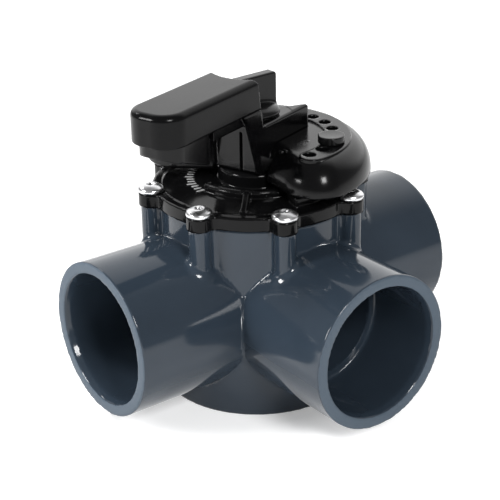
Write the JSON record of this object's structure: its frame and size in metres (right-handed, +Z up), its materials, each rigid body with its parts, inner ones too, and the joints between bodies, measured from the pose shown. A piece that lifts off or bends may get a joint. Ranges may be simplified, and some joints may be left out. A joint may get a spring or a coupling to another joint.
{
  "type": "three way diverter valve",
  "caption": "Three way diverter valve for pipe: slip sockets, a bolted cover, and a turning handle with settable stops and a lock knob.",
  "frame": {"origin": "centre of the flat base, on the stem axis", "axes": "+Z up along the stem axis, +X along the straight run, -Y out of the branch port"},
  "size_m": [0.18, 0.1443, 0.156],
  "materials": {
    "body_pvc": "glossy slate grey moulded PVC",
    "cover_plastic": "glossy black moulded plastic",
    "handle_plastic": "semi-gloss black moulded plastic",
    "grip_plastic": "satin dark grey moulded plastic",
    "knob_plastic": "satin black moulded plastic",
    "diverter_plastic": "dark grey moulded plastic",
    "washer_plastic": "white low-friction plastic",
    "seal_rubber": "black rubber",
    "stainless": "bright stainless steel",
    "brass": "turned brass"
  },
  "bodies": {
    "root": {"valve_body": "body_pvc", "cover": "cover_plastic", "cover_seal": "seal_rubber", "cover_screws": "stainless"},
    "rotor": {"diverter": "diverter_plastic", "diverter_seal": "seal_rubber", "thrust_washer": "washer_plastic", "stem_o_ring_lower": "seal_rubber", "stem_o_ring_upper": "seal_rubber", "stem_insert": "brass", "handle_body": "handle_plastic", "grip_cap": "grip_plastic", "grip_screws": "stainless", "stop_dome": "handle_plastic", "dome_screws": "stainless"},
    "washer": {"lock_washer": "stainless"},
    "knob": {"lock_knob": "knob_plastic", "lock_bolt": "stainless"},
    "pin_front": {"stop_pin_front": "knob_plastic"},
    "pin_back": {"stop_pin_back": "knob_plastic"}
  },
  "joints": [
    {"name": "handle_turn", "type": "hinge", "parent": "root", "child": "rotor", "pos_m": [0, 0, 0.1], "axis": [0, 0, 1], "range_deg": [-18.4, 161.6]},
    {"name": "knob_lift", "type": "slide", "parent": "rotor", "child": "washer", "axis": [0, 0, 1], "range_m": [0, 0.0015]},
    {"name": "knob_turn", "type": "hinge", "parent": "washer", "child": "knob", "pos_m": [0, 0, 0.14], "axis": [0, 0, 1], "range_deg": [0, 360]},
    {"name": "pin_front_lift", "type": "slide", "parent": "rotor", "child": "pin_front", "axis": [0, 0, 1], "range_m": [0, 0.022]},
    {"name": "pin_back_lift", "type": "slide", "parent": "rotor", "child": "pin_back", "axis": [0, 0, 1], "range_m": [0, 0.022]}
  ],
  "couplings": [
    {"joint": "knob_lift", "follows": "knob_turn", "m_per_rad": 0.00019894}
  ]
}
